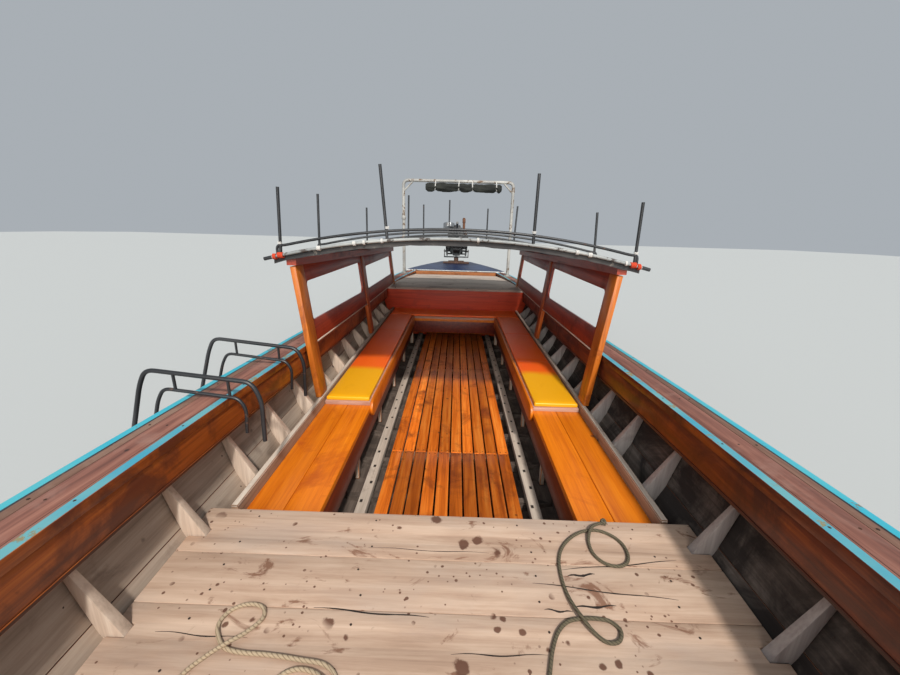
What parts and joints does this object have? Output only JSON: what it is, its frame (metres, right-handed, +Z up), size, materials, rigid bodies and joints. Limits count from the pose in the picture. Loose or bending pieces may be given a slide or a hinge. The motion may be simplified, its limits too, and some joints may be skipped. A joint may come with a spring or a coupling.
{
  "type": "longtail boat",
  "caption": "Open wooden longtail boat with a roofed cabin, cushioned benches, a boarding ladder, and a swivelling engine with a long propeller shaft.",
  "frame": {"origin": "on the centreline at the middle of the hull's length, on the waterline", "axes": "+X to port, +Y aft along the centreline, +Z up"},
  "size_m": [2.8351, 16.254, 2.871],
  "materials": {
    "grey_wood": "weathered bare planks",
    "hull_paint": "dark varnish",
    "cap_wood": "worn purplish brown",
    "orange_wood": "orange varnish",
    "red_wood": "dark red-brown varnish",
    "vinyl": "satin vinyl",
    "roof_paint": "chalky paint",
    "black_pipe": "semi-gloss",
    "pale_pipe": "worn paint",
    "arch_paint": "off-white paint",
    "canvas": "matt coated canvas",
    "engine_black": "oily black paint",
    "steel": "worn",
    "rust": "rusty",
    "bronze": "worn",
    "navy_paint": "gloss paint",
    "rope": "worn twisted fibre"
  },
  "bodies": {
    "hull": {"hull_bottom": "grey_wood", "hull_side_port": "grey_wood", "hull_side_starboard": "grey_wood", "transom": "grey_wood", "bow_deck": "grey_wood", "foredeck": "grey_wood", "aft_deck": "grey_wood", "coaming_port": "grey_wood", "coaming_starboard": "grey_wood", "rope_port": "rope", "rope_starboard": "rope", "keel": "hull_paint", "engine_bed": "hull_paint", "stem_post": "cap_wood", "gunwale_port": "cap_wood", "gunwale_starboard": "cap_wood", "wale_board_port": "orange_wood", "wale_board_starboard": "orange_wood", "floor_boards": "orange_wood", "bench_port": "orange_wood", "bench_starboard": "orange_wood", "bench_aft": "orange_wood", "post_port_1": "orange_wood", "post_port_3": "orange_wood", "post_starboard_1": "orange_wood", "post_starboard_3": "orange_wood", "bow_bulkhead": "red_wood", "aft_bulkhead": "red_wood", "post_port_2": "red_wood", "post_starboard_2": "red_wood", "window_frame_port_fore": "red_wood", "window_frame_port_aft": "red_wood", "window_frame_starboard_fore": "red_wood", "window_frame_starboard_aft": "red_wood", "roof_plate_port": "red_wood", "roof_plate_starboard": "red_wood", "pad_port": "vinyl", "pad_starboard": "vinyl", "pad_aft": "vinyl", "roof_sheet": "roof_paint", "roof_front_pipe": "pale_pipe", "roof_hoop_1": "black_pipe", "roof_hoop_2": "black_pipe", "roof_hoop_3": "black_pipe", "roof_hoop_4": "black_pipe", "boarding_ladder": "black_pipe", "stern_arch": "arch_paint", "awning_roll": "canvas", "stern_deck": "navy_paint"},
    "yoke": {"engine_yoke": "engine_black"},
    "engine": {"engine_frame": "engine_black", "engine_block": "engine_black", "cylinder_head": "engine_black", "exhaust": "rust", "air_cleaner": "steel", "bell_housing": "steel", "shaft_tube": "steel", "tiller": "black_pipe"},
    "propeller": {"propeller": "bronze"}
  },
  "joints": [
    {"name": "engine_swivel", "type": "hinge", "parent": "hull", "child": "yoke", "pos_m": [0, 5.7, 0.825], "axis": [0, 0, 1], "range_deg": [-60, 60]},
    {"name": "engine_tilt", "type": "hinge", "parent": "yoke", "child": "engine", "pos_m": [0, 5.7, 0.955], "axis": [1, 0, 0], "range_deg": [-5, 20]},
    {"name": "propeller_spin", "type": "hinge", "parent": "engine", "child": "propeller", "pos_m": [0, 9.7484, -0.20269], "axis": [0, 0.9511, -0.309], "continuous": true}
  ]
}
